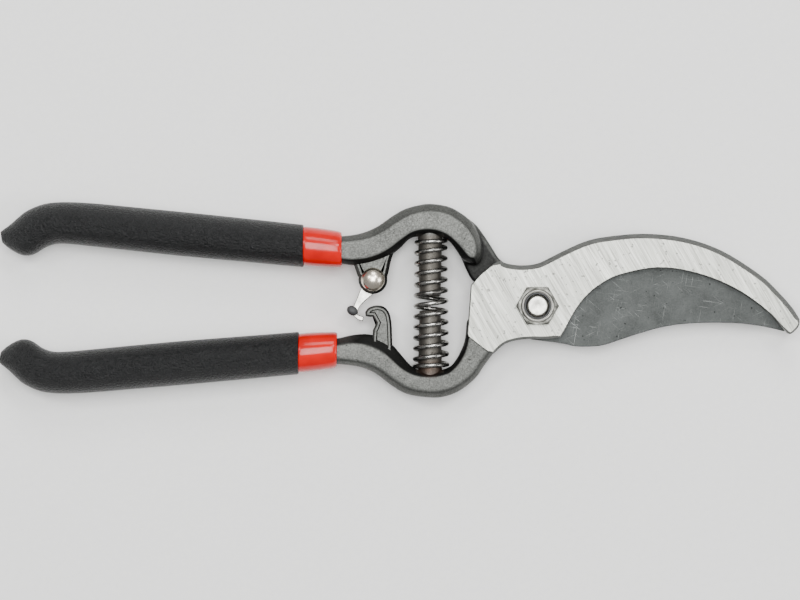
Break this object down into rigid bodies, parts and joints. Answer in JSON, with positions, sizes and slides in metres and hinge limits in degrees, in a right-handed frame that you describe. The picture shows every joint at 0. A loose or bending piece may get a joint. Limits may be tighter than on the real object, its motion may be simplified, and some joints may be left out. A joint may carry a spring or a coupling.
{
  "type": "bypass pruning shears",
  "caption": "Drop-forged bypass pruning shears with a curved blade, hooked jaw, coil return spring, thumb catch and dipped vinyl grips.",
  "frame": {"origin": "on the pivot axis, at the centre of the flat face of the pivot bolt's head, under the back of the shears", "axes": "+X from the handles to the jaw tips, +Y from the lower (hooked jaw) handle to the upper (blade) handle, +Z along the pivot towards the nut"},
  "size_m": [0.2161, 0.0526, 0.0159],
  "materials": {
    "forged_steel": "drop-forged and shot-blasted steel, matte, with a ground bright face on the hooked jaw",
    "blade_steel": "darker hardened blade steel with fine scratches",
    "zinc_plate": "bright zinc-plated steel",
    "nickel_plate": "polished nickel plate",
    "spring_steel": "drawn and oil-tempered spring wire, shiny",
    "black_vinyl": "dipped black vinyl with a fine pebbled skin",
    "red_vinyl": "dipped glossy red vinyl",
    "dark_nylon": "moulded dark nylon"
  },
  "bodies": {
    "lower_half": {"hook_handle": "forged_steel", "pivot_bolt": "zinc_plate", "pivot_nut": "zinc_plate", "nut_lock_ring": "dark_nylon", "return_spring": "spring_steel", "lower_red_cover": "red_vinyl", "lower_black_cover": "black_vinyl"},
    "upper_half": {"blade_handle": "blade_steel", "catch_rivet": "nickel_plate", "upper_red_cover": "red_vinyl", "upper_black_cover": "black_vinyl"},
    "catch": {"catch_lever": "zinc_plate"}
  },
  "joints": [
    {"name": "pivot", "type": "hinge", "parent": "lower_half", "child": "upper_half", "pos_m": [0, 0, 0.0073], "axis": [0, 0, -1], "range_deg": [0, 32], "deforming": ["return_spring"]},
    {"name": "catch_swing", "type": "hinge", "parent": "upper_half", "child": "catch", "pos_m": [-0.0442, 0.0071, 0.0055], "axis": [0, 0, 1], "range_deg": [-60, 10]}
  ]
}
